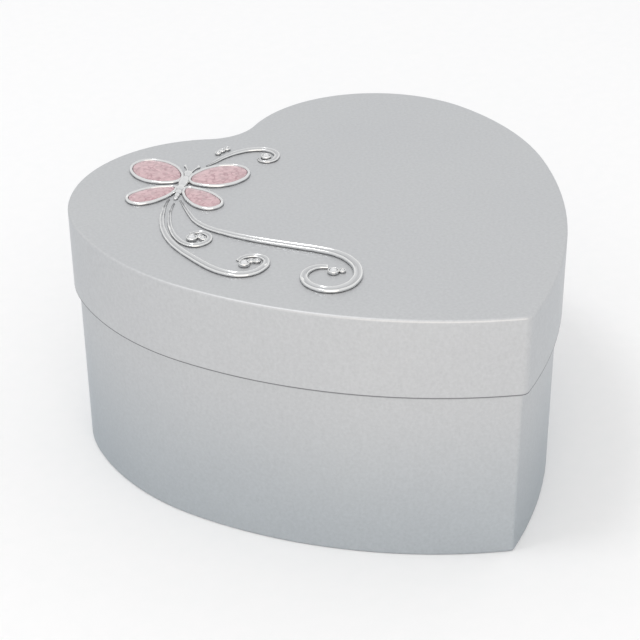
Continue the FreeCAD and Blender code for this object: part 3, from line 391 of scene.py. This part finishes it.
def satin_silver(colours):
    """Silver plate on sheet brass, pearl-blasted: a soft grey sheen broken by a very fine grain."""
    # The tint is the plate's colour at a glancing angle, where nickel under thin silver turns
    # darker and cooler.
    material, tree, surface, coords = shader("Satin silver plate", metallic=1.0,
                                             Specular_Tint=linear("#E6EAED"))
    # The blasting grit is about 0.1 mm; it is drawn at 0.7 mm so that it shows in the picture.
    grain = add(tree, "ShaderNodeTexNoise", {
        "Vector": coords, "Scale": per_mm(0.7), "Detail": 3.0, "Roughness": 0.65}).outputs["Fac"]
    cloud = add(tree, "ShaderNodeTexNoise", {
        "Vector": coords, "Scale": per_mm(22), "Detail": 2.0}).outputs["Fac"]
    plate = add(tree, "ShaderNodeMix", {
        0: grain, 6: shade(colours.silver, 0.86), 7: shade(colours.silver, 1.14)},
        data_type="RGBA").outputs[2]
    patch = add(tree, "ShaderNodeMix", {0: cloud, 6: linear("#FBFBFC"), 7: linear("#FFFFFF")},
                data_type="RGBA").outputs[2]
    # A dark line is painted at the skirt's cut edge and on the base under it, as the shade in the
    # gap at the seam.
    height = add(tree, "ShaderNodeSeparateXYZ", {"Vector": coords}).outputs["Z"]
    above = add(tree, "ShaderNodeMapRange", {
        "Value": height, "From Min": SKIRT_FOOT + 0.12 * MM,
        "From Max": SKIRT_FOOT + 0.3 * MM}).outputs["Result"]
    below = add(tree, "ShaderNodeMapRange", {
        "Value": height, "From Min": SKIRT_FOOT - 0.4 * MM,
        "From Max": SKIRT_FOOT - 1.0 * MM}).outputs["Result"]
    clear = add(tree, "ShaderNodeMath", {0: above, 1: below}, operation="MAXIMUM").outputs[0]
    seam = add(tree, "ShaderNodeMix", {0: clear, 6: linear("#9C9C9E"), 7: linear("#FFFFFF")},
               data_type="RGBA").outputs[2]
    # Towards the foot the plate's colour is painted a little darker and cooler, as shade on the
    # lower walls.
    foot_shade_fade = add(tree, "ShaderNodeMapRange", {"Value": height, "From Max": FOOT_SHADE_HEIGHT},
                interpolation_type="SMOOTHSTEP").outputs["Result"]
    painted_foot_shade = add(tree, "ShaderNodeMix", {0: foot_shade_fade, 6: linear("#EBF0F3"), 7: linear("#FFFFFF")},
               data_type="RGBA").outputs[2]
    for layer in (patch, seam, painted_foot_shade):
        plate = add(tree, "ShaderNodeMix", {0: 1.0, 6: plate, 7: layer}, data_type="RGBA",
                    blend_type="MULTIPLY").outputs[2]
    rough = add(tree, "ShaderNodeMapRange", {
        "Value": grain, "To Min": 0.44, "To Max": 0.56}).outputs["Result"]
    bump = add(tree, "ShaderNodeBump", {
        "Strength": 0.12, "Distance": 0.03 * MM, "Height": grain}).outputs["Normal"]
    add(tree, surface, {"Base Color": plate, "Roughness": rough, "Normal": bump})
    return material


def bright_silver(colours):
    """Cast ornament, silver-plated and toned: grey feet and creases, with a painted highlight along
    the ridges.
    """
    material, tree, surface, coords = shader("Bright silver with oxide", metallic=1.0)
    height = add(tree, "ShaderNodeSeparateXYZ", {"Vector": coords}).outputs["Z"]
    wear = add(tree, "ShaderNodeTexNoise", {
        "Vector": coords, "Scale": per_mm(1.6), "Detail": 3.0}).outputs["Fac"]
    ragged = add(tree, "ShaderNodeMath", {0: wear, 1: 0.3 * MM, 2: height},
                 operation="MULTIPLY_ADD").outputs[0]
    level = add(tree, "ShaderNodeMapRange", {
        "Value": ragged, "From Min": LID_TOP + 0.2 * MM,
        "From Max": LID_TOP + 0.5 * MM}).outputs["Result"]
    ridge = add(tree, "ShaderNodeNewGeometry").outputs["Pointiness"]
    # Oxide in the creases, where pointiness is low; a painted highlight along the ridges, where it
    # is high.
    oxide_and_ridge_highlight = add(tree, "ShaderNodeValToRGB", {"Fac": ridge}, stops=[
        (0.44, colours.oxide), (0.5, shade(colours.silver, 1.1)),
        (0.56, colours.ornament)]).outputs["Color"]
    foot = add(tree, "ShaderNodeValToRGB", {"Fac": level}, stops=[
        (0.0, shade(colours.oxide, 0.62)), (0.5, colours.oxide)]).outputs["Color"]
    clean = add(tree, "ShaderNodeMapRange", {
        "Value": level, "From Min": 0.3, "From Max": 0.8}).outputs["Result"]
    colour = add(tree, "ShaderNodeMix", {0: clean, 6: foot, 7: oxide_and_ridge_highlight},
                 data_type="RGBA").outputs[2]
    rough = add(tree, "ShaderNodeMapRange", {
        "Value": level, "To Min": 0.5, "To Max": 0.16}).outputs["Result"]
    scratch = add(tree, "ShaderNodeBump", {
        "Strength": 0.15, "Distance": 0.04 * MM, "Height": wear}).outputs["Normal"]
    add(tree, surface, {"Base Color": colour, "Roughness": rough, "Normal": scratch})
    return material


def glitter_enamel(colours):
    """Epoxy enamel over pink foil flakes: close rose tones, broken darker seams, under gloss."""
    material, tree, surface, coords = shader("Pink glitter enamel", roughness=0.32,
                                             Coat_Weight=0.5, Coat_Roughness=0.1)
    wander = add(tree, "ShaderNodeTexNoise", {
        "Vector": coords, "Scale": per_mm(1.2), "Detail": 3.0}).outputs["Fac"]
    flakes = add(tree, "ShaderNodeTexVoronoi", {"Vector": coords, "Scale": per_mm(0.9)})
    chance = add(tree, "ShaderNodeSeparateColor", {"Color": flakes.outputs["Color"]})
    tone = add(tree, "ShaderNodeValToRGB", {"Fac": chance.outputs["Red"]}, stops=[
        (0.0, shade(colours.enamel, 0.8)), (0.2, shade(colours.enamel, 0.93)),
        (0.5, colours.enamel), (0.85, shade(colours.enamel, 1.1))]).outputs["Color"]
    cells = add(tree, "ShaderNodeTexVoronoi", {"Vector": coords, "Scale": per_mm(1.3)},
                feature="DISTANCE_TO_EDGE")
    near = add(tree, "ShaderNodeMapRange", {
        "Value": cells.outputs["Distance"], "From Max": 0.16, "To Min": 1.0,
        "To Max": 0.0}).outputs["Result"]
    broken = add(tree, "ShaderNodeMapRange", {
        "Value": wander, "From Min": 0.45, "From Max": 0.6}).outputs["Result"]
    seam = add(tree, "ShaderNodeMath", {0: near, 1: broken}, operation="MULTIPLY").outputs[0]
    colour = add(tree, "ShaderNodeMix", {0: seam, 6: tone, 7: linear("#A98089")},
                 data_type="RGBA").outputs[2]
    shine = add(tree, "ShaderNodeMapRange", {
        "Value": chance.outputs["Green"], "To Max": 0.4}).outputs["Result"]
    tilt = add(tree, "ShaderNodeBump", {
        "Strength": 0.3, "Distance": 0.05 * MM,
        "Height": chance.outputs["Blue"]}).outputs["Normal"]
    add(tree, surface, {"Base Color": colour, "Metallic": shine, "Normal": tilt})
    return material


def cut_crystal():
    """Lead crystal, cut, polished and foiled behind: white sparks and small hard glints."""
    material, tree, surface, coords = shader("Foiled crystal", roughness=0.03, IOR=1.6,
                                             Transmission_Weight=0.25)
    veil = add(tree, "ShaderNodeTexNoise", {
        "Vector": coords, "Scale": per_mm(0.8)}).outputs["Fac"]
    colour = add(tree, "ShaderNodeMix", {0: veil, 6: linear("#EEF2F6"), 7: linear("#FFFFFF")},
                 data_type="RGBA").outputs[2]
    add(tree, surface, {"Base Color": colour})
    return material


def velvet_pile(colours):
    """Flocked rayon velvet: upright fibres, dark from the front, pale at the edge, in patches."""
    material, tree, surface, coords = shader(
        "Velvet flock", roughness=0.9, Sheen_Weight=0.75, Sheen_Roughness=0.35,
        Sheen_Tint=shade(colours.velvet, 6))
    # The pile's tufts are about 0.1 mm; they are drawn at 0.5 mm so that they show.
    pile = add(tree, "ShaderNodeTexNoise", {
        "Vector": coords, "Scale": per_mm(0.5), "Detail": 4.0, "Roughness": 0.7}).outputs["Fac"]
    lay = add(tree, "ShaderNodeTexNoise", {
        "Vector": coords, "Scale": per_mm(16), "Detail": 3.0, "Distortion": 0.8}).outputs["Fac"]
    strands = add(tree, "ShaderNodeMix", {
        0: pile, 6: shade(colours.velvet, 0.4), 7: shade(colours.velvet, 1.7)},
        data_type="RGBA").outputs[2]
    brushed = add(tree, "ShaderNodeValToRGB", {"Fac": lay}, stops=[
        (0.35, linear("#B6B6B6")), (0.65, linear("#FFFFFF"))]).outputs["Color"]
    colour = add(tree, "ShaderNodeMix", {0: 1.0, 6: strands, 7: brushed}, data_type="RGBA",
                 blend_type="MULTIPLY").outputs[2]
    fuzz = add(tree, "ShaderNodeBump", {
        "Strength": 0.7, "Distance": 0.2 * MM, "Height": pile}).outputs["Normal"]
    add(tree, surface, {"Base Color": colour, "Normal": fuzz})
    return material


def pressed_felt():
    """Pressed wool felt: matted grey fibres with no sheen."""
    material, tree, surface, coords = shader("Pressed felt", roughness=0.95)
    fibres = add(tree, "ShaderNodeTexNoise", {
        "Vector": coords, "Scale": per_mm(0.9), "Detail": 6.0, "Roughness": 0.75,
        "Distortion": 1.2}).outputs["Fac"]
    colour = add(tree, "ShaderNodeMix", {0: fibres, 6: linear("#1F1F22"), 7: linear("#3A393D")},
                 data_type="RGBA").outputs[2]
    mat = add(tree, "ShaderNodeBump", {
        "Strength": 0.5, "Distance": 0.2 * MM, "Height": fibres}).outputs["Normal"]
    add(tree, surface, {"Base Color": colour, "Normal": mat})
    return material


def worked_metal(name, hex_light, hex_dark, roughness, line_mm):
    """Machined metal: fine turned or drawn lines on a clean surface, a little darker and rougher
    between them.
    """
    material, tree, surface, coords = shader(name, metallic=1.0)
    drawn = add(tree, "ShaderNodeMapping", {
        "Vector": coords, "Scale": (1.0, 0.08, 1.0)}).outputs["Vector"]
    lines = add(tree, "ShaderNodeTexNoise", {
        "Vector": drawn, "Scale": per_mm(line_mm), "Detail": 3.0}).outputs["Fac"]
    colour = add(tree, "ShaderNodeMix", {0: lines, 6: linear(hex_dark), 7: linear(hex_light)},
                 data_type="RGBA").outputs[2]
    rough = add(tree, "ShaderNodeMapRange", {
        "Value": lines, "To Min": roughness - 0.06,
        "To Max": roughness + 0.08}).outputs["Result"]
    bump = add(tree, "ShaderNodeBump", {
        "Strength": 0.1, "Distance": 0.02 * MM, "Height": lines}).outputs["Normal"]
    add(tree, surface, {"Base Color": colour, "Roughness": rough, "Normal": bump})
    return material


def moulded_plastic():
    """Moulded white acetal: waxy, faintly uneven gloss."""
    material, tree, surface, coords = shader("Moulded acetal", roughness=0.4, IOR=1.48)
    flow = add(tree, "ShaderNodeTexNoise", {
        "Vector": coords, "Scale": per_mm(3.0), "Detail": 2.0}).outputs["Fac"]
    colour = add(tree, "ShaderNodeMix", {0: flow, 6: linear("#DCDAD4"), 7: linear("#EDECE8")},
                 data_type="RGBA").outputs[2]
    rough = add(tree, "ShaderNodeMapRange", {
        "Value": flow, "To Min": 0.34, "To Max": 0.46}).outputs["Result"]
    add(tree, surface, {"Base Color": colour, "Roughness": rough})
    return material


def coat_nodes(material, *names):
    for name in names:
        NODES[name].data.materials.clear()
        NODES[name].data.materials.append(material)


class MUSICBOX_OT_case(bpy.types.Operator):
    """Give base, floor and hinge their satin, plated and felt finishes"""
    bl_idname = "musicbox.case"
    bl_label = "Case finishes"

    def execute(self, context):
        colours = context.scene.musicbox_finish
        coat_nodes(satin_silver(colours), "base_shell")
        plated = worked_metal("Nickel-plated steel", "#BFBFBC", "#9A9A98", 0.3, 0.3)
        coat_nodes(plated, "floor_plate", "floor_screws", "movement_screws", "hinge_base_leaf",
                   "hinge_lid_leaf", "hinge_pin", "bridge_screws", "governor_screws",
                   "comb_screws", "click_rivet", "barrel_bridge")
        coat_nodes(pressed_felt(), "felt_pad")
        return {"FINISHED"}


class MUSICBOX_OT_lid(bpy.types.Operator):
    """Carry the lid's skirt up to its flat top and roll the edge as tightly as on the real lid"""
    bl_idname = "musicbox.lid"
    bl_label = "Lid"

    def execute(self, context):
        lid = copy_of("lid_shell")
        choose(lid, lambda face: face.normal.z > 0.02 and face.center.z > LID_TOP - PACKED_EDGE)
        bpy.ops.mesh.delete(type="FACE")
        bpy.ops.mesh.select_non_manifold(use_wire=False, use_multi_face=False,
                                         use_non_contiguous=False, use_verts=False)
        bpy.ops.mesh.extrude_region_move(TRANSFORM_OT_translate={"value": (0, 0, PACKED_EDGE)})
        bpy.ops.mesh.edge_face_add()
        bpy.ops.mesh.bevel(offset=context.scene.musicbox_sizes.edge_round, segments=6,
                           affect="EDGES", clamp_overlap=False)
        bpy.ops.mesh.select_all(action="SELECT")
        bpy.ops.mesh.normals_make_consistent(inside=False)
        leave_edit()
        finish(lid, "lid_shell_plate", "lid", "satin_silver",
               NODES["base_shell"].data.materials[0], "lid_shell")
        pick(lid)
        flats = lid.modifiers.new("Even flats", "WEIGHTED_NORMAL")
        flats.keep_sharp = True
        bpy.ops.object.modifier_apply(modifier=flats.name)
        return {"FINISHED"}


class MUSICBOX_OT_movement(bpy.types.Operator):
    """Give the clockwork its brass, steel, cast and moulded finishes"""
    bl_idname = "musicbox.movement"
    bl_label = "Movement finishes"

    def execute(self, context):
        coat_nodes(worked_metal("Turned brass", "#D9B66A", "#B48F48", 0.28, 0.25),
                   "spring_barrel", "barrel_cap", "tune_cylinder", "cylinder_gear", "worm_wheel",
                   "winding_key")
        coat_nodes(worked_metal("Bright steel", "#C4C6C8", "#8F9194", 0.25, 0.2),
                   "cylinder_pinion", "cylinder_arbor", "idler_shaft", "idler_pinion",
                   "worm_shaft", "winding_arbor", "ratchet_wheel", "click_spring", "mainspring",
                   "comb", "stop_rod")
        coat_nodes(worked_metal("Die-cast zinc", "#A9A9A5", "#83837F", 0.5, 0.9),
                   "bedplate", "governor_frame")
        coat_nodes(moulded_plastic(), "fan", "stop_button")
        return {"FINISHED"}


class MUSICBOX_OT_linings(bpy.types.Operator):
    """Soften the edges of tray and lid lining and give them their pile"""
    bl_idname = "musicbox.linings"
    bl_label = "Velvet linings"

    def execute(self, context):
        pile = velvet_pile(context.scene.musicbox_finish)
        for node, body in (("tray_insert", "base"), ("lid_lining", "lid")):
            lining = copy_of(node)
            edit_all(lining)
            bpy.ops.mesh.dissolve_limited(angle_limit=math.radians(2))
            leave_edit()
            pick(lining)
            soft = lining.modifiers.new("Soft edges", "BEVEL")
            soft.width = LINING_ROUND
            soft.segments = 2
            soft.limit_method = "ANGLE"
            soft.angle_limit = math.radians(50)
            bpy.ops.object.modifier_apply(modifier=soft.name)
            finish(lining, node + "_velvet", body, "velvet", pile, node)
        return {"FINISHED"}


class MUSICBOX_OT_butterfly(bpy.types.Operator):
    """Model the butterfly's raised rims, swelling body and feelers"""
    bl_idname = "musicbox.butterfly"
    bl_label = "Butterfly frame"

    def execute(self, context):
        radius = context.scene.musicbox_sizes.rim_radius / MM
        pieces = []
        for outline in (FOREWING, HINDWING):
            for side in (1, -1):
                middle = inset_outline(outline, -radius)
                points = [on_butterfly(u, v * side) for u, v in middle]
                pieces.append(bent_wire(points, [radius] * len(points), closed=True, steps=6,
                                        half_profile=RIM_PROFILE))
        body = [on_butterfly(ahead, 0) for ahead, reach in BODY_SWELL]
        pieces.append(bent_wire(body, [reach for ahead, reach in BODY_SWELL], closed=False,
                                steps=6, half_profile=BODY_PROFILE))
        for side in (1, -1):
            feeler = [on_butterfly(ahead, aside * side) for ahead, aside, reach in FEELER]
            pieces.append(bent_wire(feeler, [reach for ahead, aside, reach in FEELER],
                                    closed=False, steps=6, half_profile=RIM_PROFILE))
        finish(join(pieces), "butterfly_relief", "lid", "bright_silver",
               bright_silver(context.scene.musicbox_finish), "butterfly_frame")
        return {"FINISHED"}


class MUSICBOX_OT_wings(bpy.types.Operator):
    """Model the four domed enamel fills of the wings"""
    bl_idname = "musicbox.wings"
    bl_label = "Wing enamel"

    def execute(self, context):
        rise = context.scene.musicbox_sizes.enamel_rise
        enamel = glitter_enamel(context.scene.musicbox_finish)
        for pair, outline in (("forewing", FOREWING), ("hindwing", HINDWING)):
            for hand, side in (("left", 1), ("right", -1)):
                inner = inset_outline(outline, CELL_FIT)
                points = [on_butterfly(u, v * side, SEAT) for u, v in inner]
                edge = bent_wire(points, [0] * len(points), closed=True, steps=8)
                edit_all(edge)
                bpy.ops.mesh.remove_doubles(threshold=CELL_WELD)
                bpy.ops.mesh.select_all(action="SELECT")
                bpy.ops.mesh.delete(type="ONLY_FACE")
                bpy.ops.mesh.select_all(action="SELECT")
                bpy.ops.mesh.edge_face_add()
                bpy.ops.mesh.select_all(action="SELECT")
                bpy.ops.mesh.extrude_region_move(TRANSFORM_OT_translate={"value": (0, 0, rise)})
                for shrink, lift in DOME:
                    bpy.ops.mesh.extrude_region_move(
                        TRANSFORM_OT_translate={"value": (0, 0, lift * MM)})
                    bpy.ops.transform.resize(value=(shrink, shrink, 1))
                bpy.ops.mesh.select_all(action="SELECT")
                bpy.ops.mesh.normals_make_consistent(inside=False)
                leave_edit()
                node = hand + "_" + pair + "_enamel"
                finish(edge, node + "_fill", "lid", "pink_enamel", enamel, node)
        return {"FINISHED"}


class MUSICBOX_OT_scrolls(bpy.types.Operator):
    """Run a channelled band along each of the four curling lines, with a ring for each stone"""
    bl_idname = "musicbox.scrolls"
    bl_label = "Scrolls"

    def execute(self, context):
        silver = bright_silver(context.scene.musicbox_finish)
        turns = [math.radians(360 / RING_KNOTS * i) for i in range(RING_KNOTS)]
        for node, (line, (start, middle, end)) in SCROLLS.items():
            halves = []
            for i in range(len(line)):
                part = i / (len(line) - 1)
                swell = (middle - (start + end) / 2) * 4 * part * (1 - part)
                halves.append((start + (end - start) * part + swell) / 2)
            pieces = [bent_wire([on_lid(x, y) for x, y in line], halves, closed=False, steps=8,
                                half_profile=BAND_PROFILE)]
            for x, y, radius in STONES[node]:
                reach = radius * context.scene.musicbox_sizes.stone_scale + RING_GAP
                circle = [on_lid(x + reach * math.cos(turn), y + reach * math.sin(turn))
                          for turn in turns]
                half_width = RING_WIRE[0] + RING_WIRE[1] * radius
                ring = bent_wire(circle, [half_width] * RING_KNOTS, closed=True, steps=4,
                                 half_profile=RIM_PROFILE)
                edit_all(ring)
                bpy.ops.transform.resize(value=(1, 1, RING_RISE),
                                         center_override=(0, 0, LID_TOP))
                pieces.append(ring)
            finish(join(pieces), node + "_relief", "lid", "bright_silver", silver, node)
        return {"FINISHED"}


class MUSICBOX_OT_stones(bpy.types.Operator):
    """Cut one small brilliant and set a copy of it at each place"""
    bl_idname = "musicbox.stones"
    bl_label = "Cut stones"

    def execute(self, context):
        leave_edit()
        bpy.ops.mesh.primitive_cylinder_add(vertices=FACETS, radius=MM, depth=GIRDLE,
                                            location=(0, 0, GIRDLE / 2))
        stone = context.object
        choose(stone, lambda face: face.normal.z > 0.9)
        for inward, lift in CROWN:
            bpy.ops.mesh.extrude_region_move(TRANSFORM_OT_translate={"value": (0, 0, lift * MM)})
            scale = 1 - inward
            bpy.ops.transform.resize(value=(scale, scale, 1))
            bpy.ops.transform.rotate(value=CROWN_TURN, orient_axis="Z",
                                     center_override=(0, 0, 0))
        leave_edit()
        places = [place for group in STONES.values() for place in group]
        copies = [stone]
        pick(stone)
        bpy.ops.object.transform_apply(location=True)
        for _ in places[1:]:
            pick(stone)
            bpy.ops.object.duplicate()
            copies.append(context.object)
        size = context.scene.musicbox_sizes.stone_scale
        for number, (copy, (x, y, radius)) in enumerate(zip(copies, places)):
            copy.location = on_lid(x, y, SEAT)
            copy.scale = (radius * size,) * 3
            copy.rotation_euler = (0, 0, number * STONE_TURN)
        stones = join(copies)
        finish(stones, "cut_stones", "lid", "crystal", cut_crystal(), "crystals")
        for face in stones.data.polygons:
            face.use_smooth = False
        return {"FINISHED"}


class MUSICBOX_OT_stage(bpy.types.Operator):
    """Set up camera, floor, lamps and world"""
    bl_idname = "musicbox.stage"
    bl_label = "Stage"

    def execute(self, context):
        scene = context.scene
        view = scene.musicbox_view
        turn, rise = view.azimuth, view.elevation
        back = Vector((math.sin(turn) * math.cos(rise), -math.cos(turn) * math.cos(rise),
                       math.sin(rise)))
        right = Vector((math.cos(turn), math.sin(turn), 0))
        up = back.cross(right)
        place = AIM + right * view.aim_right + up * view.aim_up + back * view.distance
        cos, sin = math.cos(view.roll), math.sin(view.roll)
        across = right * cos - up * sin
        upward = right * sin + up * cos
        bpy.ops.object.camera_add()
        camera = context.object
        camera.matrix_world = Matrix((
            (across.x, upward.x, back.x, place.x), (across.y, upward.y, back.y, place.y),
            (across.z, upward.z, back.z, place.z), (0, 0, 0, 1)))
        camera.data.lens = view.lens
        camera.data.sensor_width = SENSOR_WIDTH
        camera.data.clip_start = CLIP_START
        scene.camera = camera

        leave_edit()
        bpy.ops.mesh.primitive_plane_add(size=FLOOR_SIZE, location=(0, 0, 0))
        floor = context.object
        floor.name = "pale_floor"
        # Matt paper, near white
        material, tree, surface, coords = shader("Pale paper", roughness=0.9)
        fibre = add(tree, "ShaderNodeTexNoise", {
            "Vector": coords, "Scale": per_mm(4)}).outputs["Fac"]
        colour = add(tree, "ShaderNodeMix", {0: fibre, 6: linear("#F8F9FA"), 7: linear("#FCFCFD")},
                     data_type="RGBA").outputs[2]
        add(tree, surface, {"Base Color": colour})
        floor.data.materials.append(material)

        for name, spot, size, power, tint in LAMPS:
            bpy.ops.object.light_add(type="AREA", location=spot)
            lamp = context.object
            lamp.name = name
            lamp.data.size = size
            lamp.data.energy = power
            lamp.data.color = linear(tint)[:3]
            lamp.rotation_euler = (Vector(spot) - LAMP_AIM).to_track_quat("Z", "Y").to_euler()

        world = bpy.data.worlds.new("Studio")
        scene.world = world
        world.use_nodes = True
        tree = world.node_tree
        tree.nodes.clear()
        rays = add(tree, "ShaderNodeLightPath").outputs
        shiny = add(tree, "ShaderNodeMath", {0: rays["Is Camera Ray"], 1: rays["Is Glossy Ray"]},
                    operation="MAXIMUM").outputs[0]
        seen = add(tree, "ShaderNodeMath", {0: shiny, 1: rays["Is Transmission Ray"]},
                   operation="MAXIMUM").outputs[0]
        level = add(tree, "ShaderNodeMapRange", {
            "Value": seen, "To Min": SKY_LIGHT, "To Max": SKY_SEEN}).outputs["Result"]
        sky = add(tree, "ShaderNodeBackground", {
            "Color": (1, 1, 1, 1), "Strength": level}).outputs["Background"]
        add(tree, "ShaderNodeOutputWorld", {"Surface": sky})
        scene.view_settings.view_transform = "Standard"
        return {"FINISHED"}


OPERATORS = (MUSICBOX_OT_stage, MUSICBOX_OT_case, MUSICBOX_OT_lid, MUSICBOX_OT_movement,
             MUSICBOX_OT_linings, MUSICBOX_OT_butterfly, MUSICBOX_OT_wings, MUSICBOX_OT_scrolls,
             MUSICBOX_OT_stones)


class MUSICBOX_PT_panel(bpy.types.Panel):
    """Lists the steps that dress the music box"""
    bl_idname = "MUSICBOX_PT_panel"
    bl_label = "Music Box"
    bl_space_type = "VIEW_3D"
    bl_region_type = "UI"
    bl_category = "Music Box"

    def draw(self, context):
        for step in OPERATORS:
            self.layout.operator(step.bl_idname)
        scene = context.scene
        for group in (scene.musicbox_finish, scene.musicbox_sizes, scene.musicbox_view):
            for name in group.__annotations__:
                self.layout.prop(group, name)


CLASSES = (MusicBoxFinish, MusicBoxSizes, MusicBoxView) + OPERATORS + (MUSICBOX_PT_panel,)


def register():
    for cls in CLASSES:
        bpy.utils.register_class(cls)
    bpy.types.Scene.musicbox_finish = bpy.props.PointerProperty(type=MusicBoxFinish)
    bpy.types.Scene.musicbox_sizes = bpy.props.PointerProperty(type=MusicBoxSizes)
    bpy.types.Scene.musicbox_view = bpy.props.PointerProperty(type=MusicBoxView)


def unregister():
    del bpy.types.Scene.musicbox_view
    del bpy.types.Scene.musicbox_sizes
    del bpy.types.Scene.musicbox_finish
    for cls in reversed(CLASSES):
        bpy.utils.unregister_class(cls)


def main():
    register()
    bpy.ops.musicbox.stage()
    bpy.ops.musicbox.case()
    bpy.ops.musicbox.lid()
    bpy.ops.musicbox.movement()
    bpy.ops.musicbox.linings()
    bpy.ops.musicbox.butterfly()
    bpy.ops.musicbox.wings()
    bpy.ops.musicbox.scrolls()
    bpy.ops.musicbox.stones()


if __name__ == "__main__":
    main()
